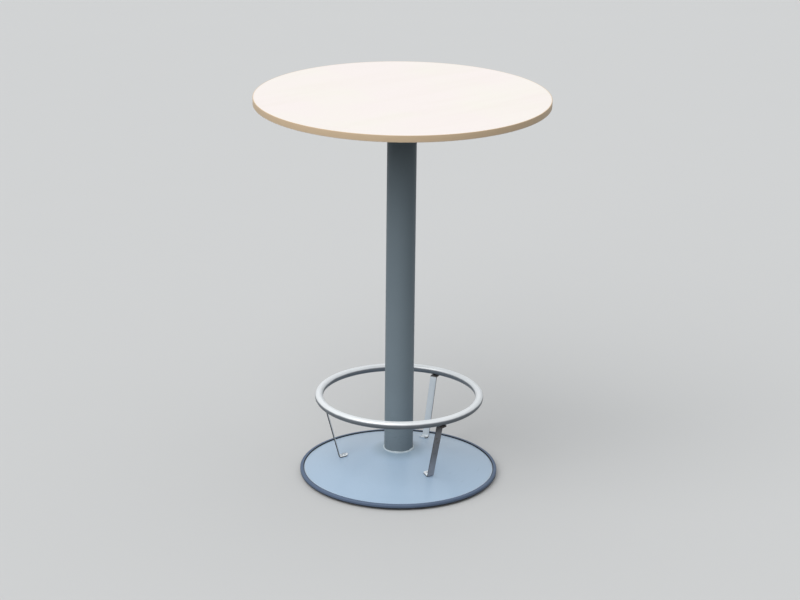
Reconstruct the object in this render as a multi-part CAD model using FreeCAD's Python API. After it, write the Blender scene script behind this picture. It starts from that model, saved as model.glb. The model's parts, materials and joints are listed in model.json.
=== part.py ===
import FreeCAD, Part
import math
import os

# A round pub table: a laminated top on one steel column, a weighted domed base with a bumper,
# and a tubular foot ring on three bent flat bars. Millimetres, +Z up, origin on the floor
# under the column.

# Overall sizes
table_height = 1085.0
top_diameter = 800.0
base_diameter = 552.0
column_diameter = 80.0
ring_diameter = 446.0
ring_height = 228.0

# Fits shared by the pieces
fit_clearance = 0.1
thread_clearance = 0.05
seat_clearance = 0.08
running_clearance = 0.3
cut_overrun = 2.0

# Table top
core_thickness = 16.4
laminate_thickness = 0.8
band_thickness = 2.0
band_edge_round = 0.8

# Spider under the top
spider_arm_count = 4
spider_arm_length = 190.0
spider_arm_width = 34.0
spider_arm_thickness = 7.0
spider_shoulder_width = 6.0
spider_hub_floor = 4.0
spigot_length = 20.0
spigot_edge_round = 2.0

# Wood screws, two in each arm of the spider
wood_screw_radius = 2.5
wood_screw_bite = 10.0
wood_screw_head_radius = 5.0
wood_screw_head_height = 3.2
wood_screw_inset = 25.0
wood_screw_spacing = 70.0

# Column tube and the moulded collar at its foot
column_wall = 2.0
collar_flange = 1.5
collar_bead_width = 4.2
collar_bead_height = 4.5
collar_bead_round = 1.8

# Tie rod with a washer and a nut at each end
rod_radius = 6.0
rod_end_proud = 2.5
rod_end_chamfer = 1.0
rod_hole_clearance = 0.4
rod_nut_flats = 18.0
rod_nut_height = 10.0
rod_washer_radius = 12.0
rod_washer_thickness = 2.5
spanner_room = 3.0
recess_margin = 1.5

# Domed base cover
cover_thickness = 2.0
cover_edge_height = 13.5
cover_rise = 58.0
cover_crown = 2.8
cover_land_margin = 3.8
cover_rim_round = 2.5

# Bumper ring round the cover's skirt
bumper_width = 10.0
bumper_lip = 3.0
bumper_floor_gap = 5.0
bumper_shelf_width = 8.0
bumper_shelf_thickness = 3.0
bumper_top_round = 4.0
bumper_low_round = 3.0

# Cast base weight
weight_side_gap = 26.0
weight_floor_gap = 11.0
weight_rim_gap = 2.6
weight_shoulder_width = 6.0
weight_hub_round = 8.0
weight_rim_round = 3.0

# Foot ring tube and its threaded bosses
ring_tube_diameter = 22.0
ring_tube_wall = 1.5
boss_radius = 7.0
boss_proud = 1.0
boss_thread_spare = 1.5
boss_end_wall = 1.5

# Bent flat bars that carry the foot ring
bracket_sides = ("left", "front", "back")
bracket_first_angle = 182.2
bar_width = 20.0
bar_thickness = 3.0
bar_bend_radius = 4.0
bar_edge_round = 0.6
bar_end_round = 7.0
head_to_bend_gap = 1.0
foot_screw_distance = 153.0
foot_tab_toe = 11.5
ring_tab_toe = 9.0

# Machine screws and nuts on the brackets
screw_radius = 3.0
screw_hole_clearance = 0.3
screw_head_radius = 6.0
screw_head_height = 3.6
screw_head_round = 2.4
foot_screw_proud = 3.5
ring_screw_bite = 9.0
drive_slot_length = 6.4
drive_slot_width = 1.2
drive_slot_depth = 1.8
flange_nut_flats = 10.0
flange_nut_height = 6.0
flange_nut_radius = 7.0
flange_nut_flange = 1.4

# Levelling glides
glide_count = 4
glide_inset = 33.0
glide_first_angle = 45.0
glide_pad_radius = 20.0
glide_pad_height = 6.0
glide_pad_round = 1.5
glide_socket_depth = 3.5
glide_foot_radius = 5.5
glide_stem_radius = 4.0
glide_stem_proud = 6.5
glide_collar_flats = 13.0

# Sizes that follow from the ones above
hexagon_sides = 6
top_thickness = core_thickness + laminate_thickness + laminate_thickness
top_underside = table_height - top_thickness
core_radius = top_diameter / 2 - band_thickness
column_radius = column_diameter / 2
spigot_radius = column_radius - column_wall - fit_clearance
base_radius = base_diameter / 2
cover_edge_radius = base_radius - bumper_width - fit_clearance
cover_apex = cover_edge_height + cover_rise
cover_land_radius = column_radius + collar_bead_width + cover_land_margin
cover_skirt_end = bumper_floor_gap + bumper_shelf_thickness
column_foot = cover_apex + collar_flange
weight_radius = cover_edge_radius - cover_thickness - weight_side_gap
glide_distance = weight_radius - glide_inset
nut_recess_depth = rod_washer_thickness + rod_nut_height + rod_end_proud + recess_margin
nut_recess_radius = rod_washer_radius + spanner_room
rod_hole_radius = rod_radius + rod_hole_clearance
spider_shoulder = top_underside - nut_recess_depth - spider_hub_floor
top_washer_seat = top_underside - nut_recess_depth
bottom_washer_seat = weight_floor_gap + nut_recess_depth
ring_radius = ring_diameter / 2
ring_tube_radius = ring_tube_diameter / 2
boss_seat = ring_height - ring_tube_radius - boss_proud
boss_thread_depth = ring_screw_bite + boss_thread_spare
screw_hole_radius = screw_radius + screw_hole_clearance
tab_heel = screw_head_radius + head_to_bend_gap + bar_bend_radius + bar_thickness / 2
bracket_step = 360 / len(bracket_sides)
bracket_angles = [bracket_first_angle + bracket_step * index for index in range(len(bracket_sides))]
wood_screw_length = spider_arm_thickness + wood_screw_bite

UP = FreeCAD.Vector(0, 0, 1)
DOWN = FreeCAD.Vector(0, 0, -1)


def cylinder(radius, low, high, x=0, y=0):
    return Part.makeCylinder(radius, high - low, FreeCAD.Vector(x, y, low))


def turned(shape, angle):
    copy = shape.copy()
    copy.rotate(FreeCAD.Vector(), UP, angle)
    return copy


def placed(shape, point, direction):
    """A copy of a shape drawn along +Z at the origin, moved to a point and a direction."""
    copy = shape.copy()
    copy.Placement = FreeCAD.Placement(point, FreeCAD.Rotation(UP, direction))
    return copy


def rounded_corner(before, here, after, radius):
    """Start, middle and end of the arc that rounds a corner."""
    back = (before - here).normalize()
    ahead = (after - here).normalize()
    half = back.getAngle(ahead) / 2
    reach = radius / math.tan(half)
    middle = here + (back + ahead).normalize() * (radius / math.sin(half) - radius)
    return here + back * reach, middle, here + ahead * reach


def outline_face(corners):
    """A face in the XZ plane inside a closed outline of corners (x, z, rounding radius)."""
    points = [FreeCAD.Vector(x, 0, z) for x, z, _ in corners]
    starts = []
    ends = []
    edges = []
    for index, (_, _, radius) in enumerate(corners):
        start = points[index]
        end = points[index]
        if radius > 0:
            after = points[(index + 1) % len(points)]
            start, middle, end = rounded_corner(points[index - 1], points[index], after, radius)
            edges.append(Part.Arc(start, middle, end).toShape())
        starts.append(start)
        ends.append(end)
    for index, end in enumerate(ends):
        following = starts[(index + 1) % len(starts)]
        edges.append(Part.LineSegment(end, following).toShape())
    return Part.Face(Part.Wire(Part.sortEdges(edges)[0]))


def lathe(corners):
    """A solid of revolution about Z from a closed outline of corners."""
    return outline_face(corners).revolve(FreeCAD.Vector(), UP, 360)


def hexagon_prism(flats, low, high):
    corner_radius = flats / 2 / math.cos(math.pi / hexagon_sides)
    corners = []
    for side in range(hexagon_sides + 1):
        angle = 2 * math.pi * side / hexagon_sides
        x = corner_radius * math.cos(angle)
        y = corner_radius * math.sin(angle)
        corners.append(FreeCAD.Vector(x, y, low))
    return Part.Face(Part.makePolygon(corners)).extrude(UP * (high - low))


def pan_head_screw(radius, length, head_radius, head_height):
    """A screw along +Z with its head's underside at the origin and a cross recess."""
    head_round = head_height * screw_head_round / screw_head_height
    screw = lathe([
        (0, -length, 0),
        (radius, -length, 0),
        (radius, 0, 0),
        (head_radius, 0, 0),
        (head_radius, head_height, head_round),
        (0, head_height, 0),
    ])
    slot_scale = head_radius / screw_head_radius
    slot_length = drive_slot_length * slot_scale
    slot_width = drive_slot_width * slot_scale
    slot_low = head_height - drive_slot_depth * slot_scale
    slot_height = drive_slot_depth * slot_scale + cut_overrun
    slot = Part.makeBox(slot_length, slot_width, slot_height,
                        FreeCAD.Vector(-slot_length / 2, -slot_width / 2, slot_low))
    return screw.cut(slot).cut(turned(slot, 90))


# Base cover

def crown_circle():
    """Centre (x, z) and radius of the arc from the cover's flat land to its edge."""
    run = cover_edge_radius - cover_land_radius
    chord = math.hypot(run, cover_rise)
    radius = (chord * chord / 4 + cover_crown * cover_crown) / (2 * cover_crown)
    back = radius - cover_crown
    centre_x = (cover_edge_radius + cover_land_radius) / 2 - back * cover_rise / chord
    centre_z = (cover_edge_height + cover_apex) / 2 - back * run / chord
    return centre_x, centre_z, radius


def cover_height(distance):
    """Height of the cover's outer face at a distance from the axis, outside the flat land."""
    centre_x, centre_z, radius = crown_circle()
    return centre_z + math.sqrt(radius ** 2 - (distance - centre_x) ** 2)


def cover_slope(distance):
    """Angle below the horizontal of the cover's face, going outwards."""
    centre_x, centre_z, radius = crown_circle()
    return math.asin((distance - centre_x) / radius)


def cover_arc(end_radius, drop):
    distances = (cover_land_radius, (cover_land_radius + end_radius) / 2, end_radius)
    points = [FreeCAD.Vector(distance, 0, cover_height(distance) - drop) for distance in distances]
    return Part.Arc(*points).toShape()


def make_base_cover():
    hole_radius = spigot_radius + fit_clearance
    inner_edge = cover_edge_radius - cover_thickness
    top_arc = cover_arc(cover_edge_radius, 0)
    under_arc = cover_arc(inner_edge, cover_thickness)
    path = [
        FreeCAD.Vector(cover_edge_radius, 0, cover_edge_height),
        FreeCAD.Vector(cover_edge_radius, 0, cover_skirt_end),
        FreeCAD.Vector(inner_edge, 0, cover_skirt_end),
        FreeCAD.Vector(inner_edge, 0, cover_height(inner_edge) - cover_thickness),
    ]
    land = [
        FreeCAD.Vector(cover_land_radius, 0, cover_apex - cover_thickness),
        FreeCAD.Vector(hole_radius, 0, cover_apex - cover_thickness),
        FreeCAD.Vector(hole_radius, 0, cover_apex),
        FreeCAD.Vector(cover_land_radius, 0, cover_apex),
    ]
    edges = [top_arc] + Part.makePolygon(path).Edges + [under_arc] + Part.makePolygon(land).Edges
    cover = Part.Face(Part.Wire(Part.sortEdges(edges)[0])).revolve(FreeCAD.Vector(), UP, 360)
    rim = [edge for edge in cover.Edges if is_level_circle(edge, cover_edge_radius, cover_edge_height)]
    cover = cover.makeFillet(cover_rim_round, rim)
    for angle in bracket_angles:
        cover = cover.cut(turned(foot_screw_hole(), angle))
    return cover


def is_level_circle(edge, radius, height):
    if not isinstance(edge.Curve, Part.Circle):
        return False
    level = edge.BoundBox.ZLength < fit_clearance
    same_height = abs(edge.Curve.Center.z - height) < fit_clearance
    return level and same_height and abs(edge.Curve.Radius - radius) < fit_clearance


def make_base_bumper():
    bore = base_radius - bumper_width
    low = bumper_floor_gap
    high = cover_edge_height + bumper_lip
    shelf = bore - bumper_shelf_width
    return lathe([
        (shelf, low, 0),
        (base_radius, low, bumper_low_round),
        (base_radius, high, bumper_top_round),
        (bore, high, 0),
        (bore, cover_skirt_end, 0),
        (shelf, cover_skirt_end, 0),
    ])


# Base weight

def weight_top():
    """Height of the weight's disc, which clears the cover at its rim."""
    return cover_height(weight_radius) - cover_thickness - weight_rim_gap


def make_base_weight():
    disc_top = weight_top()
    hub_radius = column_radius + weight_shoulder_width
    shoulder = cover_apex - cover_thickness
    rim_round = min(weight_rim_round, (disc_top - weight_floor_gap) / 2)
    weight = lathe([
        (rod_hole_radius, column_foot + spigot_length, 0),
        (spigot_radius, column_foot + spigot_length, spigot_edge_round),
        (spigot_radius, shoulder, 0),
        (hub_radius, shoulder, 0),
        (hub_radius, disc_top, weight_hub_round),
        (weight_radius, disc_top, rim_round),
        (weight_radius, weight_floor_gap, 0),
        (nut_recess_radius, weight_floor_gap, 0),
        (nut_recess_radius, bottom_washer_seat, 0),
        (rod_hole_radius, bottom_washer_seat, 0),
    ])
    hole_low = weight_floor_gap - cut_overrun
    hole_high = disc_top + cut_overrun
    for x, y in glide_places():
        weight = weight.cut(cylinder(glide_stem_radius + thread_clearance, hole_low, hole_high, x, y))
    return weight


# Column and what holds it together

def make_column_foot_collar():
    inner = spigot_radius + fit_clearance
    tube_face = column_radius + fit_clearance
    outer = column_radius + collar_bead_width
    bead_top = cover_apex + collar_bead_height
    return lathe([
        (inner, cover_apex, 0),
        (outer, cover_apex, 0),
        (outer, bead_top, collar_bead_round),
        (tube_face, bead_top, 0),
        (tube_face, column_foot, 0),
        (inner, column_foot, 0),
    ])


def make_column_tube():
    bore = cylinder(column_radius - column_wall, column_foot, spider_shoulder)
    return cylinder(column_radius, column_foot, spider_shoulder).cut(bore)


def make_tie_rod():
    low = bottom_washer_seat - rod_washer_thickness - rod_nut_height - rod_end_proud
    high = top_washer_seat + rod_washer_thickness + rod_nut_height + rod_end_proud
    return lathe([
        (0, low, 0),
        (rod_radius - rod_end_chamfer, low, 0),
        (rod_radius, low + rod_end_chamfer, 0),
        (rod_radius, high - rod_end_chamfer, 0),
        (rod_radius - rod_end_chamfer, high, 0),
        (0, high, 0),
    ])


def make_rod_washer(low):
    high = low + rod_washer_thickness
    return cylinder(rod_washer_radius, low, high).cut(cylinder(rod_radius + fit_clearance, low, high))


def make_rod_nut(low):
    high = low + rod_nut_height
    thread = cylinder(rod_radius + thread_clearance, low, high)
    return hexagon_prism(rod_nut_flats, low, high).cut(thread)


# Table top

def make_edge_band():
    outer = top_diameter / 2
    return lathe([
        (core_radius, top_underside, 0),
        (outer, top_underside, band_edge_round),
        (outer, table_height, band_edge_round),
        (core_radius, table_height, 0),
    ])


def wood_screw_places():
    places = []
    for arm in range(spider_arm_count):
        angle = 2 * math.pi * arm / spider_arm_count
        outer = spider_arm_length - wood_screw_inset
        for distance in (outer - wood_screw_spacing, outer):
            places.append((distance * math.cos(angle), distance * math.sin(angle)))
    return places


def drilled_for_wood_screws(disc):
    radius = wood_screw_radius + thread_clearance
    low = top_underside - cut_overrun
    high = top_underside + wood_screw_bite + thread_clearance
    for x, y in wood_screw_places():
        disc = disc.cut(cylinder(radius, low, high, x, y))
    return disc


def make_underside_laminate():
    disc = cylinder(core_radius, top_underside, top_underside + laminate_thickness)
    return drilled_for_wood_screws(disc)


def make_top_core():
    low = top_underside + laminate_thickness
    return drilled_for_wood_screws(cylinder(core_radius, low, low + core_thickness))


def make_top_laminate():
    return cylinder(core_radius, table_height - laminate_thickness, table_height)


def spider_arm(angle):
    low = top_underside - spider_arm_thickness
    half_width = spider_arm_width / 2
    straight = spider_arm_length - half_width
    corner = FreeCAD.Vector(0, -half_width, low)
    arm = Part.makeBox(straight, spider_arm_width, spider_arm_thickness, corner)
    arm = arm.fuse(cylinder(half_width, low, top_underside, straight))
    return turned(arm, angle)


def make_top_spider():
    hub_radius = column_radius + spider_shoulder_width
    spigot_end = spider_shoulder - spigot_length
    spider = lathe([
        (0, spigot_end, 0),
        (spigot_radius, spigot_end, spigot_edge_round),
        (spigot_radius, spider_shoulder, 0),
        (hub_radius, spider_shoulder, 0),
        (hub_radius, top_underside, 0),
        (0, top_underside, 0),
    ])
    for arm in range(spider_arm_count):
        spider = spider.fuse(spider_arm(360 * arm / spider_arm_count))
    spider = spider.removeSplitter()
    hole_high = top_underside + cut_overrun
    spider = spider.cut(cylinder(nut_recess_radius, top_washer_seat, hole_high))
    spider = spider.cut(cylinder(rod_hole_radius, spigot_end - cut_overrun, top_underside))
    hole_radius = wood_screw_radius + screw_hole_clearance
    hole_low = top_underside - spider_arm_thickness - cut_overrun
    for x, y in wood_screw_places():
        spider = spider.cut(cylinder(hole_radius, hole_low, hole_high, x, y))
    return spider


def make_wood_screws():
    screw = pan_head_screw(
        wood_screw_radius, wood_screw_length, wood_screw_head_radius, wood_screw_head_height)
    seat = top_underside - spider_arm_thickness
    return [placed(screw, FreeCAD.Vector(x, y, seat), DOWN) for x, y in wood_screw_places()]


# Foot ring and its brackets

def ring_places():
    places = []
    for angle in bracket_angles:
        radians = math.radians(angle)
        places.append((ring_radius * math.cos(radians), ring_radius * math.sin(radians)))
    return places


def make_foot_ring():
    centre = FreeCAD.Vector(0, 0, ring_height)
    tube = Part.makeTorus(ring_radius, ring_tube_radius, centre)
    tube = tube.cut(Part.makeTorus(ring_radius, ring_tube_radius - ring_tube_wall, centre))
    hole_low = boss_seat - cut_overrun
    for x, y in ring_places():
        tube = tube.cut(cylinder(boss_radius + fit_clearance, hole_low, ring_height, x, y))
    return tube


def make_ring_bosses():
    bosses = []
    thread_end = boss_seat + boss_thread_depth
    for x, y in ring_places():
        boss = cylinder(boss_radius, boss_seat, thread_end + boss_end_wall, x, y)
        thread = cylinder(screw_radius + thread_clearance, boss_seat, thread_end, x, y)
        bosses.append(boss.cut(thread))
    return bosses


def foot_seat():
    """Point on the cover under a bracket's foot screw, and the cover's normal there, at angle 0."""
    slope = cover_slope(foot_screw_distance)
    point = FreeCAD.Vector(foot_screw_distance, 0, cover_height(foot_screw_distance))
    return point, FreeCAD.Vector(math.sin(slope), 0, math.cos(slope))


def foot_screw_hole():
    point, normal = foot_seat()
    reach = cover_thickness + bar_thickness + cut_overrun
    return Part.makeCylinder(screw_hole_radius, reach + reach, point - normal * reach, normal)


def bracket_path():
    """Corners (x, z) of the bar's middle line: foot tab, leaning bar, tab under the ring."""
    point, normal = foot_seat()
    along = FreeCAD.Vector(normal.z, 0, -normal.x)
    middle = point + normal * (seat_clearance + bar_thickness / 2)
    toe = middle - along * foot_tab_toe
    heel = middle + along * tab_heel
    tab_height = boss_seat - bar_thickness / 2
    return [
        (toe.x, toe.z),
        (heel.x, heel.z),
        (ring_radius - tab_heel, tab_height),
        (ring_radius + ring_tab_toe, tab_height),
    ]


def bar_side(path, offset):
    """One side of a bent bar: the path's corners moved sideways, with their bend radii."""
    side = []
    for index, (x, z) in enumerate(path):
        here = FreeCAD.Vector(x, 0, z)
        before = path[max(index - 1, 0)]
        after = path[min(index + 1, len(path) - 1)]
        inward = here - FreeCAD.Vector(before[0], 0, before[1])
        outward = FreeCAD.Vector(after[0], 0, after[1]) - here
        is_end = inward.Length == 0 or outward.Length == 0
        inward = (outward if inward.Length == 0 else inward).normalize()
        outward = (inward if outward.Length == 0 else outward).normalize()
        left_in = FreeCAD.Vector(-inward.z, 0, inward.x)
        left_out = FreeCAD.Vector(-outward.z, 0, outward.x)
        corner = here + (left_in + left_out) * (offset / (1 + left_in.dot(left_out)))
        turns_left = outward.dot(left_in) > 0
        on_inside = turns_left == (offset > 0)
        bend = bar_bend_radius if on_inside else bar_bend_radius + bar_thickness
        side.append((corner.x, corner.z, 0 if is_end else bend))
    return side


def is_across(edge):
    """True for an edge that runs through a bar's thickness."""
    return abs(edge.Length - bar_thickness) < fit_clearance


def make_bracket(angle):
    path = bracket_path()
    left = bar_side(path, bar_thickness / 2)
    right = bar_side(path, -bar_thickness / 2)
    bar = outline_face(left + right[::-1])
    bar.translate(FreeCAD.Vector(0, -bar_width / 2, 0))
    bar = bar.extrude(FreeCAD.Vector(0, bar_width, 0))
    bar = bar.makeFillet(bar_end_round, [edge for edge in bar.Edges if is_across(edge)])
    rims = [edge for edge in bar.Edges if edge.BoundBox.YLength < bar_thickness and not is_across(edge)]
    bar = bar.makeFillet(bar_edge_round, rims)
    bar = bar.cut(foot_screw_hole())
    tab_low = boss_seat - bar_thickness - cut_overrun
    bar = bar.cut(cylinder(screw_hole_radius, tab_low, boss_seat + cut_overrun, ring_radius))
    return turned(bar, angle)


def make_foot_screws():
    point, normal = foot_seat()
    length = bar_thickness + cover_thickness + flange_nut_height + foot_screw_proud
    screw = pan_head_screw(screw_radius, length, screw_head_radius, screw_head_height)
    screw = placed(screw, point + normal * (seat_clearance + bar_thickness), normal)
    return [turned(screw, angle) for angle in bracket_angles]


def make_foot_nuts():
    point, normal = foot_seat()
    nut = hexagon_prism(flange_nut_flats, 0, flange_nut_height)
    nut = nut.fuse(cylinder(flange_nut_radius, 0, flange_nut_flange)).removeSplitter()
    nut = nut.cut(cylinder(screw_radius + thread_clearance, 0, flange_nut_height))
    under_cover = cover_thickness * normal.z + seat_clearance
    nut = placed(nut, point - normal * under_cover, normal * -1)
    return [turned(nut, angle) for angle in bracket_angles]


def make_ring_screws():
    length = bar_thickness + ring_screw_bite
    screw = pan_head_screw(screw_radius, length, screw_head_radius, screw_head_height)
    seat = boss_seat - bar_thickness
    return [placed(screw, FreeCAD.Vector(x, y, seat), DOWN) for x, y in ring_places()]


# Levelling glides

def glide_places():
    places = []
    for glide in range(glide_count):
        angle = math.radians(glide_first_angle + 360 * glide / glide_count)
        places.append((glide_distance * math.cos(angle), glide_distance * math.sin(angle)))
    return places


def make_glide_pad(x, y):
    socket_floor = glide_pad_height - glide_socket_depth
    socket_radius = glide_foot_radius + thread_clearance
    pad = lathe([
        (0, 0, 0),
        (glide_pad_radius, 0, 0),
        (glide_pad_radius, glide_pad_height, glide_pad_round),
        (socket_radius, glide_pad_height, 0),
        (socket_radius, socket_floor, 0),
        (0, socket_floor, 0),
    ])
    return placed(pad, FreeCAD.Vector(x, y, 0), UP)


def make_glide_stem(x, y):
    foot_low = glide_pad_height - glide_socket_depth + thread_clearance
    collar_low = glide_pad_height + running_clearance
    collar_high = weight_floor_gap - running_clearance
    stem = cylinder(glide_foot_radius, foot_low, collar_low)
    stem = stem.fuse(hexagon_prism(glide_collar_flats, collar_low, collar_high))
    stem = stem.fuse(cylinder(glide_stem_radius, collar_high, weight_top() + glide_stem_proud))
    return placed(stem.removeSplitter(), FreeCAD.Vector(x, y, 0), UP)


def make_parts():
    bottom_nut_seat = bottom_washer_seat - rod_washer_thickness - rod_nut_height
    parts = {
        "top_core": make_top_core(),
        "top_laminate": make_top_laminate(),
        "underside_laminate": make_underside_laminate(),
        "edge_band": make_edge_band(),
        "top_spider": make_top_spider(),
        "top_screws": Part.makeCompound(make_wood_screws()),
        "column_tube": make_column_tube(),
        "column_foot_collar": make_column_foot_collar(),
        "tie_rod": make_tie_rod(),
        "tie_rod_top_washer": make_rod_washer(top_washer_seat),
        "tie_rod_top_nut": make_rod_nut(top_washer_seat + rod_washer_thickness),
        "tie_rod_bottom_washer": make_rod_washer(bottom_washer_seat - rod_washer_thickness),
        "tie_rod_bottom_nut": make_rod_nut(bottom_nut_seat),
        "base_cover": make_base_cover(),
        "base_bumper": make_base_bumper(),
        "base_weight": make_base_weight(),
        "foot_ring": make_foot_ring(),
        "foot_ring_bosses": Part.makeCompound(make_ring_bosses()),
        "bracket_foot_screws": Part.makeCompound(make_foot_screws()),
        "bracket_foot_nuts": Part.makeCompound(make_foot_nuts()),
        "bracket_ring_screws": Part.makeCompound(make_ring_screws()),
    }
    for side, angle in zip(bracket_sides, bracket_angles):
        parts[f"ring_bracket_{side}"] = make_bracket(angle)
    for number, (x, y) in enumerate(glide_places(), start=1):
        parts[f"glide_pad_{number}"] = make_glide_pad(x, y)
        parts[f"glide_stem_{number}"] = make_glide_stem(x, y)
    return parts


os.makedirs("parts", exist_ok=True)
for name, shape in make_parts().items():
    shape.exportStep(f"parts/{name}.step")
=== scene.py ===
import json
import math

import bmesh
import bpy
from mathutils import Color, Matrix, Vector, noise


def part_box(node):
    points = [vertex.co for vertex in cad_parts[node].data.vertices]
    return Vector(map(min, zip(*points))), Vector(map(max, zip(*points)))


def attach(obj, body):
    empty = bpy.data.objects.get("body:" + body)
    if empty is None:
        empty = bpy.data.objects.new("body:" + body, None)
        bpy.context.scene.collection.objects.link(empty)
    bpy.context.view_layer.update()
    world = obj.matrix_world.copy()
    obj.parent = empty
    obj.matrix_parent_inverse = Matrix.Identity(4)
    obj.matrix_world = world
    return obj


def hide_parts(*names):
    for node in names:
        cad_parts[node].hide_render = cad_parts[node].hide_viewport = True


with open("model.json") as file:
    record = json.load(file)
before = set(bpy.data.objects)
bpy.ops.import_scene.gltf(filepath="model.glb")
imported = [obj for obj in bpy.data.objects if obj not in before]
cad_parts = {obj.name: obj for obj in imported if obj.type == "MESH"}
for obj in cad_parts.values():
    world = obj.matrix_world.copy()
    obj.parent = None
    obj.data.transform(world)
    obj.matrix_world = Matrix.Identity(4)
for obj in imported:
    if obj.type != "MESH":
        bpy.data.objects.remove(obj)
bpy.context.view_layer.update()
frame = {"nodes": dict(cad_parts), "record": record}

# A round pub table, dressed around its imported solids. Metres, +Z up, origin on the floor.


def reach(node):
    """How far a node goes from the column's axis, along +X."""
    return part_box(node)[1].x


def level(node):
    """Lowest and highest point of a node."""
    low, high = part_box(node)
    return low.z, high.z


def linear(*steps):
    """Red, green and blue in the usual 0 to 255 steps, as the linear colour that shaders take."""
    shares = [step / 255 for step in steps]
    return (*Color(shares).from_srgb_to_scene_linear(), 1.0)


# Sizes read from the frame
top_radius = reach("edge_band")
face_radius = reach("top_laminate")
top_underside, table_height = level("edge_band")
face_low = level("top_laminate")[0]
column_radius = reach("column_tube")
column_foot, column_head = level("column_tube")
bead_radius = reach("column_foot_collar")
bead_low, bead_high = level("column_foot_collar")
cover_radius = reach("base_cover")
skirt_end, cover_apex = level("base_cover")
bumper_radius = reach("base_bumper")
bumper_low, bumper_high = level("base_bumper")
ring_low, ring_high = level("foot_ring")
tube_radius = (ring_high - ring_low) / 2
ring_radius = reach("foot_ring") - tube_radius
ring_height = (ring_low + ring_high) / 2
ring_tab_high = level("ring_bracket_left")[1]
wood_screw_low = level("top_screws")[0]

# Sizes of the pieces that a box doesn't give
fit_clearance = 0.0001
seat_clearance = 0.00008
band_edge_round = 0.0008
column_wall = 0.002
bead_round = 0.0018
cover_thickness = 0.002
cover_crown = 0.0028
cover_land_margin = 0.0038
cover_rim_round = 0.0025
bumper_lip = 0.003
bumper_shelf_width = 0.008
bumper_top_round = 0.004
bumper_low_round = 0.003
bumper_inner_round = 0.0008
bar_width = 0.020
bar_thickness = 0.003
bar_bend_radius = 0.004
bar_edge_round = 0.0006
bar_end_round = 0.007
bar_cut_margin = 0.00005
head_to_bend_gap = 0.001
foot_tab_toe = 0.0115
ring_tab_toe = 0.009
foot_screw_distance = 0.153
bracket_sides = ("left", "front", "back")
bracket_first_angle = math.radians(182.2)

# Screws: heads as radius and height, shanks as radius and length
machine_head = (0.006, 0.0036)
foot_shank = (0.003, 0.0145)
ring_shank = (0.003, 0.012)
wood_head = (0.005, 0.0032)
wood_shank = (0.0025, 0.017)
wood_screw_distance = 0.095
wood_screw_spacing = 0.070
wood_screw_arms = 4
wood_screw_rings = 2
head_round_share = 0.66
slot_length_share = 0.53
slot_width_share = 0.10
slot_depth_share = 0.5

# Unevenness of the bead at the column's foot
bead_least_share = 0.80
bead_wave_share = 0.28
bead_wave_scale = 2.6
bead_lump_angle = math.radians(-32)
bead_lump_spread = math.radians(9)
bead_lump_share = 0.55

# Sizes that follow from the ones above
tube_face = column_radius + fit_clearance
cover_edge_height = bumper_high - bumper_lip
cover_rise = cover_apex - cover_edge_height
cover_land_radius = bead_radius + cover_land_margin
cover_hole_radius = column_radius - column_wall
bumper_bore = cover_radius + fit_clearance
tab_heel = machine_head[0] + head_to_bend_gap + bar_bend_radius + bar_thickness / 2
bracket_step = 2 * math.pi / len(bracket_sides)

# How finely round pieces are drawn
turn_steps = 256
tube_steps = 40
screw_steps = 32
arc_steps = 6
edge_steps = 3
crown_steps = 28
merge_distance = 0.00001
crease_angle = math.radians(32)

# Depth of the relief in the finishes
brushed_relief = 0.0002
grit_relief = 0.0003
grain_relief = 0.0004
paint_relief = 0.0005
rough_relief = 0.0006

# Marks on the finishes: where each one is full, and how far it takes to fade
band_line_height = 0.0012
band_line_fade = 0.0022
# Painted shade in the bumper's groove and on its underside
groove_shade_width = 0.0005
groove_shade_fade = 0.001
under_shade_height = 0.002
under_shade_fade = 0.003
# Painted shadow under the foot ring, on the brackets
ring_shadow_gap = 0.002
ring_shadow_fade = 0.004
outer_shadow_fade = 0.034

# Floor and light
floor_size = 120.0
floor_drop = 0.0002
floor_colour = linear(206, 206, 205)
floor_dust_colour = linear(196, 196, 195)
floor_bounce_colour = linear(40, 35, 31)
sky_colour = linear(244, 247, 250)
sky_low = 0.06
sky_middle = 0.59
sky_high = 0.82
sky_rise = 0.30
backdrop_low = 0.71
backdrop_high = 0.86
sun_strength = 1.57
sun_spread = math.radians(60)
sun_from = Vector((-0.42, -0.54, 0.73))

# Camera fitted to the photograph
image_width = 800
focal_pixels = 2400
sensor_width = 36
camera_place = Vector((-0.0006, -6.232, 2.671))
camera_tilt = math.radians(70.87)
camera_roll = math.radians(0.65)


# Node trees written as Python expressions

def spaced(named):
    """Sockets given by keyword, with a space in their names for each _."""
    return {key.replace("_", " "): value for key, value in named.items()}


class Term:
    """A socket of a node tree that takes part in sums."""

    def __init__(self, tree, socket):
        self.tree = tree
        self.socket = socket

    def combine(self, operation, *others):
        """A math node fed with this term and then with the others."""
        return self.tree.math(operation, self, *others)

    def __add__(self, other):
        return self.combine("ADD", other)

    def __sub__(self, other):
        return self.combine("SUBTRACT", other)

    def __rsub__(self, other):
        return self.tree.math("SUBTRACT", other, self)

    def __mul__(self, other):
        return self.combine("MULTIPLY", other)

    def __truediv__(self, other):
        return self.combine("DIVIDE", other)

    __radd__ = __add__
    __rmul__ = __mul__

    def smooth_step(self, low, high):
        """0 below low, 1 above high, and a smooth rise between them."""
        sockets = {"Value": self, "From Min": low, "From Max": high}
        return self.tree.node("ShaderNodeMapRange", sockets, interpolation_type="SMOOTHSTEP")


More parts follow.
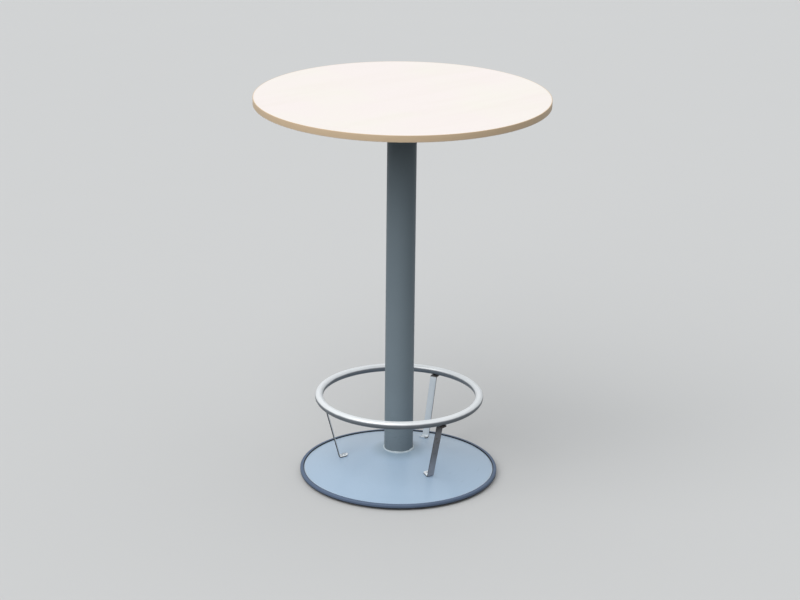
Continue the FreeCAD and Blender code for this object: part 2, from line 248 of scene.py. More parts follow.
class Tree:
    """A node tree whose nodes are made by one method."""

    def __init__(self, tree):
        self.tree = tree
        self.tree.nodes.clear()

    def node(self, kind, sockets=None, output=0, **settings):
        """Makes a node, fills its sockets and gives one of its outputs as a term."""
        made = self.tree.nodes.new(kind)
        for key, value in settings.items():
            setattr(made, key, value)
        for key, value in (sockets or {}).items():
            self.feed(self.pick(made.inputs, key), value)
        return Term(self, self.pick(made.outputs, output)) if made.outputs else None

    def feed(self, socket, value):
        """Links a term, or several, to a socket, or sets the socket's own value."""
        if isinstance(value, list):
            for term in value:
                self.tree.links.new(term.socket, socket)
        elif isinstance(value, Term):
            self.tree.links.new(value.socket, socket)
        else:
            socket.default_value = value

    @staticmethod
    def pick(sockets, key):
        """A socket by its place, or by the identifier or name that it has."""
        named = [socket for socket in sockets if key in (socket.identifier, socket.name)]
        return named[0] if named else sockets[key]

    def math(self, operation, *operands):
        return self.node("ShaderNodeMath", dict(enumerate(operands)), operation=operation)

    def vector(self, x=0, y=0, z=0):
        return self.node("ShaderNodeCombineXYZ", {0: x, 1: y, 2: z})


class Finish(Tree):
    """One procedural material and the nodes that make it."""

    def __init__(self, name):
        self.material = bpy.data.materials.new(name)
        self.material.use_nodes = True
        super().__init__(self.material.node_tree)

    def place(self):
        """The surface point, in the piece's own coordinates."""
        return self.node("ShaderNodeTexCoord", output="Object")

    def split(self, vector):
        """X, Y and Z of a vector."""
        return [self.node("ShaderNodeSeparateXYZ", {0: vector}, output=axis) for axis in "XYZ"]

    def axes(self):
        """X, Y and Z of the surface point."""
        return self.split(self.place())

    def height(self):
        """Height of the surface point."""
        return self.axes()[2]

    def around(self):
        """Angle of the surface point about the column's axis."""
        x, y = self.axes()[:2]
        return y.combine("ARCTAN2", x)

    def distance(self):
        """Distance of the surface point from the column's axis."""
        x, y = self.axes()[:2]
        return (x * x + y * y).combine("SQRT")

    def facing(self):
        """How far the surface faces away from the column, to either side of it (squared), and up."""
        x, y = self.axes()[:2]
        across, deep, up = self.split(self.node("ShaderNodeNewGeometry", output="Normal"))
        distance = self.distance()
        outward = (across * x + deep * y) / distance
        sideways = (deep * x - across * y) / distance
        return outward, sideways * sideways, up

    def stretched(self, scale, turn=(0, 0, 0)):
        """Object coordinates, turned and then drawn out by a factor for each axis."""
        sockets = {"Vector": self.place(), "Scale": scale, "Rotation": turn}
        return self.node("ShaderNodeMapping", sockets, vector_type="TEXTURE")

    def speckle(self, scale, detail=2.0, roughness=0.5, vector=None):
        """Soft noise from 0 to 1."""
        sockets = {"Vector": vector or self.place(), "Scale": scale, "Detail": detail,
                   "Roughness": roughness}
        return self.node("ShaderNodeTexNoise", sockets)

    def cells(self, scale, vector=None):
        """One even random value from 0 to 1 in each small cell."""
        sockets = {"Vector": vector or self.place(), "Scale": scale}
        colour = self.node("ShaderNodeTexVoronoi", sockets, output="Color")
        return self.node("ShaderNodeSeparateColor", {"Color": colour})

    def mixed(self, share, first, second):
        sockets = {"Factor_Float": share, "A_Color": first, "B_Color": second}
        return self.node("ShaderNodeMix", sockets, output="Result_Color", data_type="RGBA")

    def bumped(self, height, strength, distance):
        sockets = {"Height": height, "Strength": strength, "Distance": distance}
        return self.node("ShaderNodeBump", sockets)

    def surface(self, **sockets):
        """Closes the material with one principled shader."""
        shader = self.node("ShaderNodeBsdfPrincipled", spaced(sockets))
        self.node("ShaderNodeOutputMaterial", {"Surface": shader})
        return self.material


class Recipe(Tree):
    """A geometry tree with named inputs, run once to make a plain mesh."""

    def __init__(self, name, numbers, counts=()):
        super().__init__(bpy.data.node_groups.new(name, "GeometryNodeTree"))
        self.declare("Geometry", "NodeSocketGeometry", "OUTPUT")
        self.declare("Geometry", "NodeSocketGeometry")
        for title in numbers:
            self.declare(title, "NodeSocketFloat")
        for title in counts:
            self.declare(title, "NodeSocketInt")
        entry = self.tree.nodes.new("NodeGroupInput")
        self.inputs = {socket.name: Term(self, socket) for socket in entry.outputs if socket.name}

    def declare(self, title, kind, way="INPUT"):
        self.tree.interface.new_socket(title, in_out=way, socket_type=kind)

    def circle(self, steps, radius):
        sockets = {"Resolution": steps, "Radius": radius}
        return self.node("GeometryNodeCurvePrimitiveCircle", sockets, output="Curve")

    def filleted(self, curve, steps, radius):
        """A curve with its corners rounded."""
        sockets = {"Curve": curve, "Count": steps, "Radius": radius}
        return self.node("GeometryNodeFilletCurve", sockets, mode="POLY")

    def rectangle(self, width, height, steps, radius):
        """A rectangle with rounded corners."""
        sockets = {"Width": width, "Height": height}
        plain = self.node("GeometryNodeCurvePrimitiveQuadrilateral", sockets)
        return self.filleted(plain, steps, radius)

    def swept(self, path, section, capped):
        """A section drawn along a path, with or without end faces."""
        sockets = {"Curve": path, "Profile Curve": section, "Fill Caps": capped}
        return self.node("GeometryNodeCurveToMesh", sockets)

    def boolean(self, operation, **meshes):
        return self.node("GeometryNodeMeshBoolean", spaced(meshes), operation=operation)

    def moved(self, geometry, **change):
        return self.node("GeometryNodeTransform", {"Geometry": geometry, **change})

    def turn(self, x=0, y=0, z=0):
        return self.node("FunctionNodeEulerToRotation", {0: self.vector(x, y, z)})

    def close(self, geometry, slot):
        """Ends the tree with one whole mesh in a slot's finish."""
        whole = self.node("GeometryNodeRealizeInstances", {"Geometry": geometry})
        dressed = self.node("GeometryNodeSetMaterial", {"Geometry": whole, "Material": finishes[slot]})
        self.node("NodeGroupOutput", {0: dressed})

    def make(self, name, start, values):
        """Runs the tree on a start mesh and gives a piece with the plain result."""
        made = add_object(name, start)
        modifier = made.modifiers.new(name, "NODES")
        modifier.node_group = self.tree
        for item in self.tree.interface.items_tree:
            if item.in_out == "INPUT" and item.name in values:
                modifier[item.identifier] = values[item.name]
        graph = bpy.context.evaluated_depsgraph_get()
        mesh = bpy.data.meshes.new_from_object(made.evaluated_get(graph))
        made.modifiers.clear()
        made.data = mesh
        smooth(mesh)
        return made


# Finishes

def white_laminate():
    """Pale laminate with a faint grain that runs slantwise over the face."""
    finish = Finish("white_laminate")
    slant = finish.stretched(scale=(9, 1, 1), turn=(0, 0, math.radians(38)))
    streaks = finish.speckle(scale=9, detail=4, roughness=0.6, vector=slant)
    clouds = finish.speckle(scale=3.2)
    fine = finish.speckle(scale=900, detail=3)
    base = finish.mixed(clouds.smooth_step(0.35, 0.65), linear(251, 245, 235), linear(252, 242, 237))
    base = finish.mixed(streaks.smooth_step(0.45, 0.75) * 0.35, base, linear(244, 235, 224))
    return finish.surface(
        Base_Color=base,
        Specular_IOR_Level=0.3,
        Roughness=0.44 + 0.12 * streaks,
        Normal=finish.bumped(fine, strength=0.06, distance=grain_relief),
    )


def tan_band():
    """Tan edge band with grain along it and a paler line at its lower edge."""
    finish = Finish("edge_band")
    along = finish.vector(finish.around() * 2.2, finish.height() * 160)
    grain = finish.speckle(scale=4, detail=5, roughness=0.6, vector=along)
    line_high = top_underside + band_line_height
    low_line = 1 - finish.height().smooth_step(line_high, line_high + band_line_fade)
    base = finish.mixed(grain, linear(220, 190, 155), linear(238, 214, 180))
    base = finish.mixed(low_line * 0.45, base, linear(236, 216, 190))
    return finish.surface(
        Base_Color=base,
        Roughness=0.42 + 0.14 * grain,
        Normal=finish.bumped(grain, strength=0.12, distance=grain_relief),
    )


def column_paint():
    """Grey satin paint with a fine sparkle, slight orange peel, scuffs near the foot, and darker
    towards the foot.
    """
    finish = Finish("column_paint")
    clouds = finish.speckle(scale=5, detail=3)
    sparkle = finish.cells(scale=2600)
    peel = finish.speckle(scale=420)
    upright = finish.stretched(scale=(1, 1, 0.2))
    scratches = finish.speckle(scale=60, detail=4, roughness=0.6, vector=upright)
    low = 1 - finish.height().smooth_step(cover_apex, ring_height)
    scuffs = low * scratches.smooth_step(0.58, 0.70)
    # Darker towards the foot, from the cover's top to halfway up to the ring.
    foot_darkening = 1 - finish.height().smooth_step(cover_apex, (cover_apex + ring_height) / 2)
    darker_colour = linear(98, 108, 116)
    base = finish.mixed(clouds * 0.6 + sparkle * 0.4, linear(122, 136, 145), linear(136, 150, 158))
    base = finish.mixed(scuffs * 0.5, base, darker_colour)
    base = finish.mixed(foot_darkening * 0.35, base, darker_colour)
    return finish.surface(
        Base_Color=base,
        Specular_IOR_Level=0.2,
        Roughness=0.46 + 0.1 * clouds,
        Normal=finish.bumped(peel, strength=0.08, distance=paint_relief),
    )


def cover_paint():
    """Pale blue-grey satin paint, scuffed by shoes, with a painted highlight at the rim and painted
    shade round the column.
    """
    finish = Finish("cover_paint")
    clouds = finish.speckle(scale=5, detail=3)
    sparkle = finish.cells(scale=2400)
    peel = finish.speckle(scale=420)
    sweeps = finish.vector(finish.around() * 1.2, finish.distance() * 46)
    scuffs = finish.speckle(scale=3, detail=5, roughness=0.65, vector=sweeps).smooth_step(0.60, 0.74)
    # Painted highlight along the cover's rim.
    rim_highlight = (finish.distance() / cover_radius).smooth_step(0.98, 0.995)
    # Painted shade round the column's foot, darker nearer the column.
    darkening = 1 - finish.distance().smooth_step(bead_radius, bead_radius * 2)
    base = finish.mixed(clouds * 0.6 + sparkle * 0.4, linear(165, 188, 210), linear(177, 199, 220))
    base = finish.mixed(scuffs * 0.25, base, linear(138, 158, 174))
    base = finish.mixed(rim_highlight * 0.7, base, linear(206, 222, 234))
    base = finish.mixed(darkening * 0.5, base, linear(126, 146, 158))
    return finish.surface(
        Base_Color=base,
        Roughness=0.36 + 0.12 * clouds + 0.08 * scuffs,
        Coat_Weight=0.4,
        Coat_Roughness=0.2,
        Normal=finish.bumped(peel, strength=0.06, distance=paint_relief),
    )


def bumper_rubber():
    """Blue-grey rubber, painted near black along its inner lip and its underside as shade."""
    finish = Finish("bumper_rubber")
    clouds = finish.speckle(scale=14, detail=4)
    grit = finish.speckle(scale=1500)
    # Painted shadow in the gap along the inner lip, and painted shade on the underside, both near
    # black.
    groove_end = bumper_bore + groove_shade_width
    groove = 1 - finish.distance().smooth_step(groove_end, groove_end + groove_shade_fade)
    under_end = bumper_low + under_shade_height
    under = 1 - finish.height().smooth_step(under_end, under_end + under_shade_fade)
    painted_shade = (groove + under).combine("MINIMUM", 1)
    base = finish.mixed(clouds, linear(78, 95, 120), linear(98, 115, 140))
    base = finish.mixed(painted_shade, base, linear(18, 21, 26))
    return finish.surface(
        Base_Color=base,
        Roughness=0.5 + 0.2 * clouds,
        Normal=finish.bumped(grit, strength=0.2, distance=grit_relief),
    )


def bright_ring():
    """Satin metal with painted light and shade: pale on its upper half as lit from above, dull below as
    shaded.
    """
    finish = Finish("bright_ring")
    smudges = finish.speckle(scale=26, detail=4)
    rise = (finish.height() - ring_height) / tube_radius
    # Painted light and shade: the upper half of the tube is painted lit, the lower half shaded.
    lit_share = (rise + (smudges - 0.5) * 0.2).smooth_step(0.20, 0.56)
    along = finish.vector(finish.around() * 0.4, finish.height() * 90)
    hairlines = finish.speckle(scale=60, vector=along)
    shaded_colour = finish.mixed(smudges, linear(104, 111, 118), linear(122, 129, 136))
    lit_colour = finish.mixed(smudges, linear(244, 248, 250), linear(250, 252, 253))
    return finish.surface(
        Base_Color=finish.mixed(lit_share, shaded_colour, lit_colour),
        Metallic=0.18,
        Roughness=0.40 - 0.12 * lit_share + 0.08 * smudges,
        Normal=finish.bumped(hairlines, strength=0.04, distance=brushed_relief),
    )


def bracket_steel():
    """Flat steel bar with painted light and shade: near-white tabs and pale inner faces as lit, dull
    outer faces with stains as shaded, painted shade on the side edges, a painted highlight low on the
    outer faces and a rust-brown painted shadow under the ring.
    """
    finish = Finish("bracket_steel")
    smudges = finish.speckle(scale=40, detail=4)
    stains = finish.speckle(scale=90, detail=3).smooth_step(0.55, 0.8)
    brushed = finish.speckle(scale=700, vector=finish.stretched(scale=(1, 1, 30)))
    outward, sideways, up = finish.facing()
    # Painted light: faces turned up or in towards the column are painted lit, faces turned out and down
    # are painted shaded.
    lit_share = (up - outward).smooth_step(-0.3, 0.5)
    level_face = up.smooth_step(0.5, 0.9)
    # Painted shade on the narrow side faces of the bar.
    side_shade = sideways.smooth_step(0.4, 0.8)
    # Painted highlight, paler towards the foot of the outer faces.
    low_highlight = 1 - finish.height().smooth_step(cover_apex, ring_height * 0.55)
    # Painted shadow under the foot ring, tinted rust brown, reaching further down the shaded outer
    # faces.
    ring_shadow_start = ring_low - ring_shadow_gap
    ring_shadow_end = ring_shadow_start - ring_shadow_fade - outer_shadow_fade * (1 - lit_share)
    ring_shadow = finish.height().smooth_step(ring_shadow_end, ring_shadow_start)
    # Outer faces: dull as painted shade, with stains.
    outside = finish.mixed(stains, linear(132, 133, 137), linear(108, 100, 95))
    outside = finish.mixed(low_highlight * 0.6, outside, linear(176, 176, 184))
    # Inner faces pale and level tabs near white, as painted light.
    inside = finish.mixed(smudges, linear(202, 211, 218), linear(216, 224, 230))
    tab = finish.mixed(smudges, linear(242, 247, 250), linear(250, 252, 253))
    base = finish.mixed(lit_share, outside, finish.mixed(level_face, inside, tab))
    base = finish.mixed(side_shade * 0.9, base, linear(44, 47, 50))
    base = finish.mixed(ring_shadow * 0.9, base, linear(54, 47, 43))
    return finish.surface(
        Base_Color=base,
        Metallic=0.4,
        Roughness=0.36 + 0.14 * brushed,
        Normal=finish.bumped(brushed, strength=0.1, distance=brushed_relief),
    )


def zinc_steel():
    """Zinc plate with a soft spangle."""
    finish = Finish("zinc_steel")
    spangle = finish.speckle(scale=180, detail=3)
    base = finish.mixed(spangle, linear(200, 208, 214), linear(228, 233, 236))
    return finish.surface(Base_Color=base, Metallic=0.75, Roughness=0.26 + 0.16 * spangle)


def black_casting():
    """Black painted casting with a sandy skin."""
    finish = Finish("black_casting")
    sand = finish.speckle(scale=520, detail=4, roughness=0.65)
    clouds = finish.speckle(scale=20, detail=3)
    base = finish.mixed(clouds, linear(38, 38, 40), linear(56, 56, 58))
    return finish.surface(
        Base_Color=base,
        Roughness=0.5 + 0.2 * clouds,
        Normal=finish.bumped(sand, strength=0.5, distance=rough_relief),
    )


def black_steel():
    """Blackened steel, rubbed to bare metal in places."""
    finish = Finish("black_steel")
    rubs = finish.speckle(scale=240, detail=3).smooth_step(0.62, 0.78)
    clouds = finish.speckle(scale=70, detail=3)
    base = finish.mixed(clouds, linear(30, 28, 27), linear(46, 43, 41))
    base = finish.mixed(rubs * 0.5, base, linear(120, 118, 114))
    return finish.surface(Base_Color=base, Metallic=0.6, Roughness=0.42 + 0.2 * clouds)


def backing_laminate():
    """Plain backing sheet under the top."""
    finish = Finish("backing_laminate")
    clouds = finish.speckle(scale=6, detail=4)
    fine = finish.speckle(scale=800)
    base = finish.mixed(clouds * 0.6 + fine * 0.4, linear(150, 141, 131), linear(176, 167, 156))
    return finish.surface(
        Base_Color=base,
        Roughness=0.55 + 0.15 * clouds,
        Normal=finish.bumped(fine, strength=0.1, distance=grit_relief),
    )


def chip_board():
    """Raw chips of the board."""
    finish = Finish("board")
    tone = finish.cells(scale=420, vector=finish.stretched(scale=(3, 1, 1)))
    base = finish.mixed(tone, linear(168, 132, 92), linear(206, 174, 132))
    return finish.surface(Base_Color=base, Roughness=0.75 + 0.1 * tone)


def pale_bead():
    """Pale moulding with a lumpy skin."""
    finish = Finish("pale_plastic")
    lumps = finish.speckle(scale=160, detail=3)
    base = finish.mixed(lumps, linear(190, 203, 210), linear(214, 225, 231))
    return finish.surface(
        Base_Color=base,
        Roughness=0.4 + 0.2 * lumps,
        Normal=finish.bumped(lumps, strength=0.4, distance=rough_relief),
    )


finishes = {
    "white_laminate": white_laminate(),
    "edge_band": tan_band(),
    "column_paint": column_paint(),
    "cover_paint": cover_paint(),
    "bumper_rubber": bumper_rubber(),
    "bright_ring": bright_ring(),
    "bracket_steel": bracket_steel(),
    "zinc_steel": zinc_steel(),
    "black_casting": black_casting(),
    "black_steel": black_steel(),
    "backing_laminate": backing_laminate(),
    "board": chip_board(),
    "pale_plastic": pale_bead(),
}
node_slots = {part["node"]: part["material_slot"] for part in frame["record"]["subparts"]}


# Building pieces

def add_object(name, data):
    """A new object in the scene."""
    made = bpy.data.objects.new(name, data)
    bpy.context.scene.collection.objects.link(made)
    return made


def smooth(mesh):
    """Smooth shading, with creases only at sharp edges."""
    mesh.shade_smooth()
    mesh.set_sharp_from_angle(angle=crease_angle)


def stand_for(piece, node):
    """A piece takes a node's place and rides the table: the node is hidden."""
    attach(piece, "table")
    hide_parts(node)


def rounded(corners):
    """Points of a closed outline of corners (distance, height, rounding radius)."""
    points = []
    for index, (distance, height, radius) in enumerate(corners):
        here = Vector((distance, height))
        if radius == 0:
            points.append(here)
            continue
        back = (Vector(corners[index - 1][:2]) - here).normalized()
        ahead = (Vector(corners[(index + 1) % len(corners)][:2]) - here).normalized()
        half = back.angle(ahead) / 2
        middle = here + (back + ahead).normalized() * (radius / math.sin(half))
        start = back * (radius / math.tan(half)) + here - middle
        end = ahead * (radius / math.tan(half)) + here - middle
        for step in range(arc_steps + 1):
            points.append(middle + start.lerp(end, step / arc_steps).normalized() * radius)
    return points


def lathe(name, outline, steps, moved=None):
    """A mesh made by turning a closed outline about Z; moved may shift each point at its angle."""
    shape = bmesh.new()
    rows = []
    for step in range(steps):
        angle = 2 * math.pi * step / steps
        points = [moved(point, angle) for point in outline] if moved else outline
        row = [shape.verts.new((p.x * math.cos(angle), p.x * math.sin(angle), p.y)) for p in points]
        rows.append(row)
    for step, row in enumerate(rows):
        following = rows[(step + 1) % steps]
        for index, corner in enumerate(row):
            other = (index + 1) % len(row)
            shape.faces.new((corner, following[index], following[other], row[other]))
    bmesh.ops.remove_doubles(shape, verts=shape.verts, dist=merge_distance)
    bmesh.ops.recalc_face_normals(shape, faces=shape.faces)
    mesh = bpy.data.meshes.new(name)
    shape.to_mesh(mesh)
    shape.free()
    smooth(mesh)
    return mesh


def turned_piece(name, node, outline, moved=None):
    """A turned piece that takes a node's place."""
    mesh = lathe(name, outline, turn_steps, moved)
    mesh.materials.append(finishes[node_slots[node]])
    stand_for(add_object(name, mesh), node)


# Table top and column

def make_top():
    """The laminated face, and the band round its edge."""
    turned_piece("top_face", "top_laminate", rounded([
        (0, face_low, 0),
        (face_radius, face_low, 0),
        (face_radius, table_height, 0),
        (0, table_height, 0),
    ]))
    turned_piece("top_edge", "edge_band", rounded([
        (face_radius, top_underside, 0),
        (top_radius, top_underside, band_edge_round),
        (top_radius, table_height, band_edge_round),
        (face_radius, table_height, 0),
    ]))


def uneven(point, angle):
    """Moves a point of the foot bead so that the bead is wavy and has one lump."""
    if point.x <= tube_face:
        return point
    around = Vector((math.cos(angle), math.sin(angle), 0))
    wave = noise.noise(around * bead_wave_scale)
    away = around.angle(Vector((math.cos(bead_lump_angle), math.sin(bead_lump_angle), 0)))
    lump = bead_lump_share * math.exp(-(away / bead_lump_spread) ** 2)
    share = bead_least_share + bead_wave_share * wave
    width = tube_face + (point.x - tube_face) * min(share + lump, 1)
    return Vector((width, bead_low + (point.y - bead_low) * (share + lump)))


def make_column():
    """The column's tube, and the bead round its foot."""
    turned_piece("column", "column_tube", rounded([
        (cover_hole_radius, column_foot, 0),
        (column_radius, column_foot, 0),
        (column_radius, column_head, 0),
        (cover_hole_radius, column_head, 0),
    ]))
    turned_piece("column_foot_bead", "column_foot_collar", rounded([
        (cover_hole_radius, bead_low, 0),
        (bead_radius, bead_low, 0),
        (bead_radius, bead_high, bead_round),
        (tube_face, bead_high, 0),
        (tube_face, column_foot, 0),
        (cover_hole_radius, column_foot, 0),
    ]), uneven)


# Base

def crown_circle():
    """Centre and radius of the arc from the cover's flat land to its edge."""
    run = cover_radius - cover_land_radius
    chord = math.hypot(run, cover_rise)
    radius = (chord * chord / 4 + cover_crown * cover_crown) / (2 * cover_crown)
    back = radius - cover_crown
    centre_x = (cover_radius + cover_land_radius) / 2 - back * cover_rise / chord
    centre_z = (cover_edge_height + cover_apex) / 2 - back * run / chord
    return Vector((centre_x, centre_z)), radius


def cover_height(distance):
    """Height of the cover's outer face at a distance from the axis, outside the flat land."""
    centre, radius = crown_circle()
    return centre.y + math.sqrt(radius ** 2 - (distance - centre.x) ** 2)


def crown(end_radius, drop):
    """Corners along the cover's crown, from its land outwards, lowered by a drop."""
    corners = []
    for step in range(crown_steps):
        distance = cover_land_radius + (end_radius - cover_land_radius) * step / crown_steps
        corners.append((distance, cover_height(distance) - drop, 0))
    return corners


def make_base():
    """The domed cover, and the bumper pushed on to its skirt."""
    inner = cover_radius - cover_thickness
    under = cover_apex - cover_thickness
    corners = [(cover_hole_radius, under, 0), (cover_hole_radius, cover_apex, 0)]
    corners += crown(cover_radius, 0)
    corners.append((cover_radius, cover_edge_height, cover_rim_round))
    corners.append((cover_radius, skirt_end, 0))
    corners.append((inner, skirt_end, 0))
    corners.append((inner, cover_height(inner) - cover_thickness, 0))
    corners += crown(inner, cover_thickness)[::-1]
    turned_piece("base_cover_shell", "base_cover", rounded(corners))
    turned_piece("bumper", "base_bumper", rounded([
        (bumper_bore - bumper_shelf_width, bumper_low, 0),
        (bumper_radius, bumper_low, bumper_low_round),
        (bumper_radius, bumper_high, bumper_top_round),
        (bumper_bore, bumper_high, bumper_inner_round),
        (bumper_bore, skirt_end, 0),
        (bumper_bore - bumper_shelf_width, skirt_end, 0),
    ]))


# Foot ring and its brackets

def make_ring():
    """A tube swept round a circle."""
    recipe = Recipe("swept_ring", ("Ring Radius", "Tube Radius", "Height"))
    inputs = recipe.inputs
    path = recipe.circle(turn_steps, inputs["Ring Radius"])
    section = recipe.circle(tube_steps, inputs["Tube Radius"])
    tube = recipe.swept(path, section, capped=False)
    raised = recipe.moved(tube, Translation=recipe.vector(z=inputs["Height"]))
    recipe.close(raised, "bright_ring")
    start = bpy.data.meshes.new("ring_tube")
    values = {"Ring Radius": ring_radius, "Tube Radius": tube_radius, "Height": ring_height}
    stand_for(recipe.make("ring_tube", start, values), "foot_ring")


def foot_seat():
    """Point on the cover under a bracket's foot screw, and the cover's slope there, at angle 0."""
    centre, radius = crown_circle()
    slope = math.asin((foot_screw_distance - centre.x) / radius)
    return Vector((foot_screw_distance, 0, cover_height(foot_screw_distance))), slope


def bracket_path():
    """Corners of a bar's middle line at angle 0: foot tab, leaning bar, tab under the ring."""
    point, slope = foot_seat()
    normal = Vector((math.sin(slope), 0, math.cos(slope)))
    along = Vector((math.cos(slope), 0, -math.sin(slope)))
    middle = point + normal * (seat_clearance + bar_thickness / 2)
    tab_height = ring_tab_high - bar_thickness / 2
    return [
        middle - along * foot_tab_toe,
        middle + along * tab_heel,
        Vector((ring_radius - tab_heel, 0, tab_height)),
        Vector((ring_radius + ring_tab_toe, 0, tab_height)),
    ]


def bar_recipe():
    """A flat bar bent along a line, with its ends cut round, turned about the column."""
    recipe = Recipe("bent_bar", (
        "Width", "Thickness", "Edge Round", "Bend Radius",
        "Length", "Middle", "Height", "End Round", "Angle"))
    inputs = recipe.inputs
    line = recipe.node("GeometryNodeMeshToCurve", {"Mesh": inputs["Geometry"]})
    path = recipe.filleted(line, arc_steps, inputs["Bend Radius"])
    section = recipe.rectangle(inputs["Width"], inputs["Thickness"], edge_steps, inputs["Edge Round"])
    bar = recipe.swept(path, section, capped=True)
    cut_width = inputs["Width"] + bar_cut_margin
    plan = recipe.rectangle(inputs["Length"], cut_width, arc_steps, inputs["End Round"])
    low = recipe.vector(inputs["Middle"])
    high = recipe.vector(inputs["Middle"], 0, inputs["Height"])
    rise = recipe.node("GeometryNodeCurvePrimitiveLine", {"Start": low, "End": high})
    block = recipe.swept(rise, plan, capped=True)
    bar = recipe.boolean("INTERSECT", Mesh_2=[bar, block])
    turned = recipe.moved(bar, Rotation=recipe.turn(z=inputs["Angle"]))
    recipe.close(turned, "bracket_steel")
    return recipe


def make_brackets():
    """Three like bars at even angles."""
    recipe = bar_recipe()
    corners = bracket_path()
    links = [(step, step + 1) for step in range(len(corners) - 1)]
    values = {
        "Width": bar_width,
        "Thickness": bar_thickness,
        "Edge Round": bar_edge_round,
        "Bend Radius": bar_bend_radius + bar_thickness / 2,
        "Length": corners[-1].x - corners[0].x + bar_cut_margin,
        "Middle": (corners[-1].x + corners[0].x) / 2,
        "Height": ring_height,
        "End Round": bar_end_round,
    }
    for index, side in enumerate(bracket_sides):
        line = bpy.data.meshes.new("bracket_line")
        line.from_pydata(corners, links, [])
        turned = {**values, "Angle": bracket_first_angle + bracket_step * index}
        stand_for(recipe.make(f"bracket_{side}", line, turned), f"ring_bracket_{side}")


# Screws

def screw_recipe(slot):
    """Copies of one screw, each with a cross recess, set out in rings round the column."""
    recipe = Recipe("screw_rings", (
        "Radius", "Spacing", "Height", "First Angle", "Lean", "Head Height",
        "Slot Length", "Slot Width", "Slot Depth"), ("Count", "Rings"))
    inputs = recipe.inputs
    deep = inputs["Slot Depth"] * 2
    sizes = [
        recipe.vector(inputs["Slot Length"], inputs["Slot Width"], deep),
        recipe.vector(inputs["Slot Width"], inputs["Slot Length"], deep),
    ]
    cutters = [recipe.node("GeometryNodeMeshCube", {"Size": size}) for size in sizes]
    cross = recipe.boolean("UNION", Mesh_2=cutters)
    cross = recipe.moved(cross, Translation=recipe.vector(z=inputs["Head Height"]))
    screw = recipe.boolean("DIFFERENCE", Mesh_1=inputs["Geometry"], Mesh_2=cross)
    index = recipe.node("GeometryNodeInputIndex")
    ring = (index / inputs["Count"]).combine("FLOOR")
    arm = index - ring * inputs["Count"]
    angle = inputs["First Angle"] + arm * (2 * math.pi) / inputs["Count"]
    radius = inputs["Radius"] + ring * inputs["Spacing"]
    x = radius * angle.combine("COSINE")
    y = radius * angle.combine("SINE")
    place = recipe.vector(x, y, inputs["Height"])
    total = inputs["Count"] * inputs["Rings"]
    points = recipe.node("GeometryNodePoints", {"Count": total, "Position": place})
    turn = recipe.turn(0, inputs["Lean"], angle)
    sockets = {"Points": points, "Instance": screw, "Rotation": turn}
    copies = recipe.node("GeometryNodeInstanceOnPoints", sockets)
    recipe.close(copies, slot)
    return recipe


def screw_mesh(head, shank):
    """A pan-head screw along +Z with its head's underside at the origin."""
    head_radius, head_height = head
    shank_radius, shank_length = shank
    return lathe("screw", rounded([
        (0, -shank_length, 0),
        (shank_radius, -shank_length, 0),
        (shank_radius, 0, 0),
        (head_radius, 0, 0),
        (head_radius, head_height, head_height * head_round_share),
        (0, head_height, 0),
    ]), screw_steps)


def make_screws(name, node, head, shank, **places):
    """All screws of one node, in one ring and head down unless places say otherwise."""
    head_radius, head_height = head
    values = {
        "Rings": 1,
        "Spacing": 0.0,
        "First Angle": 0.0,
        "Lean": math.pi,
        "Head Height": head_height,
        "Slot Length": head_radius * 2 * slot_length_share,
        "Slot Width": head_radius * 2 * slot_width_share,
        "Slot Depth": head_height * slot_depth_share,
        **spaced(places),
    }
    recipe = screw_recipe(node_slots[node])
    stand_for(recipe.make(name, screw_mesh(head, shank), values), node)


def make_all_screws():
    """Screws in the brackets' feet, under the foot ring and under the top."""
    seat, slope = foot_seat()
    lift = seat_clearance + bar_thickness
    make_screws("foot_screws", "bracket_foot_screws", machine_head, foot_shank,
                Count=len(bracket_sides), Radius=seat.x + lift * math.sin(slope),
                Height=seat.z + lift * math.cos(slope), First_Angle=bracket_first_angle, Lean=slope)
    make_screws("ring_screws", "bracket_ring_screws", machine_head, ring_shank,
                Count=len(bracket_sides), Radius=ring_radius, Height=ring_tab_high - bar_thickness,
                First_Angle=bracket_first_angle)
    make_screws("wood_screws", "top_screws", wood_head, wood_shank,
                Count=wood_screw_arms, Rings=wood_screw_rings, Radius=wood_screw_distance,
                Spacing=wood_screw_spacing, Height=wood_screw_low + wood_head[1])


def dress_solids():
    """Finishes for the solids of the frame."""
    for node, solid in frame["nodes"].items():
        for slot in solid.material_slots:
            slot.material = finishes[node_slots[node]]


# Stage: floor, light and camera

def seen_directly(tree):
    """1 for what the camera sees straight or in a reflection, 0 for light that is passed on."""
    kinds = ("Is Camera Ray", "Is Glossy Ray", "Is Transmission Ray")
    camera, glossy, clear = [tree.node("ShaderNodeLightPath", output=kind) for kind in kinds]
    return (camera + glossy + clear).combine("MINIMUM", 1)


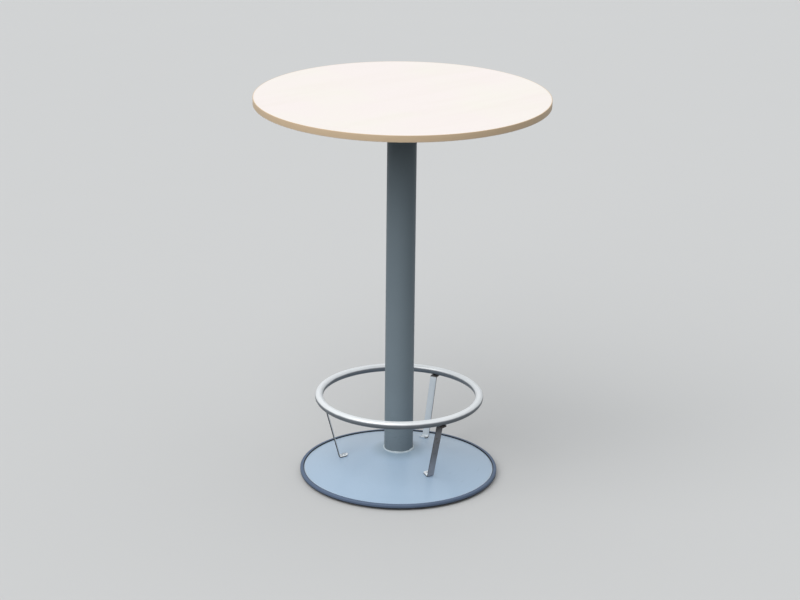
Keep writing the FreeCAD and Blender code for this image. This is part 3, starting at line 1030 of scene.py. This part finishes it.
def make_floor():
    """A wide level floor, pale where it is seen, that passes on little light."""
    mesh = bpy.data.meshes.new("floor")
    half = floor_size / 2
    corners = [(-half, -half), (half, -half), (half, half), (-half, half)]
    mesh.from_pydata([(x, y, -floor_drop) for x, y in corners], [], [(0, 1, 2, 3)])
    finish = Finish("floor")
    darkening = finish.speckle(scale=3, detail=3)
    pale = finish.mixed(darkening * 0.08, floor_colour, floor_dust_colour)
    colour = finish.mixed(seen_directly(finish), floor_bounce_colour, pale)
    mesh.materials.append(finish.surface(Base_Color=colour, Roughness=0.8))
    floor = add_object("floor", mesh)


def make_sky():
    """A studio dome, dim at the horizon for its light and pale all over where it is seen."""
    world = bpy.data.worlds.new("studio")
    world.use_nodes = True
    bpy.context.scene.world = world
    tree = Tree(world.node_tree)
    direction = tree.node("ShaderNodeTexCoord", output="Generated")
    height = tree.node("ShaderNodeSeparateXYZ", {0: direction}, output="Z").combine("MAXIMUM", 0)
    shed = sky_low + (sky_middle - sky_low) * height.smooth_step(0, sky_rise)
    shed = shed + (sky_high - sky_middle) * height
    shown = backdrop_low + (backdrop_high - backdrop_low) * height
    strength = shed + (shown - shed) * seen_directly(tree)
    light = tree.node("ShaderNodeBackground", {"Color": sky_colour, "Strength": strength})
    tree.node("ShaderNodeOutputWorld", {"Surface": light})


def make_sun():
    """One broad soft light from the upper left, in front."""
    lamp = bpy.data.lights.new("key", "SUN")
    lamp.energy = sun_strength
    lamp.angle = sun_spread
    key = add_object("key", lamp)
    key.rotation_euler = (-sun_from).to_track_quat("-Z", "Y").to_euler()


def make_camera():
    """The photograph's own view."""
    lens = bpy.data.cameras.new("camera")
    lens.sensor_width = sensor_width
    lens.lens = sensor_width * focal_pixels / image_width
    camera = add_object("camera", lens)
    turn = Matrix.Rotation(camera_tilt, 4, "X") @ Matrix.Rotation(camera_roll, 4, "Z")
    camera.matrix_world = Matrix.Translation(camera_place) @ turn
    bpy.context.scene.camera = camera


dress_solids()
make_top()
make_column()
make_base()
make_ring()
make_brackets()
make_all_screws()
make_floor()
make_sky()
make_sun()
make_camera()
bpy.context.scene.view_settings.view_transform = "Standard"
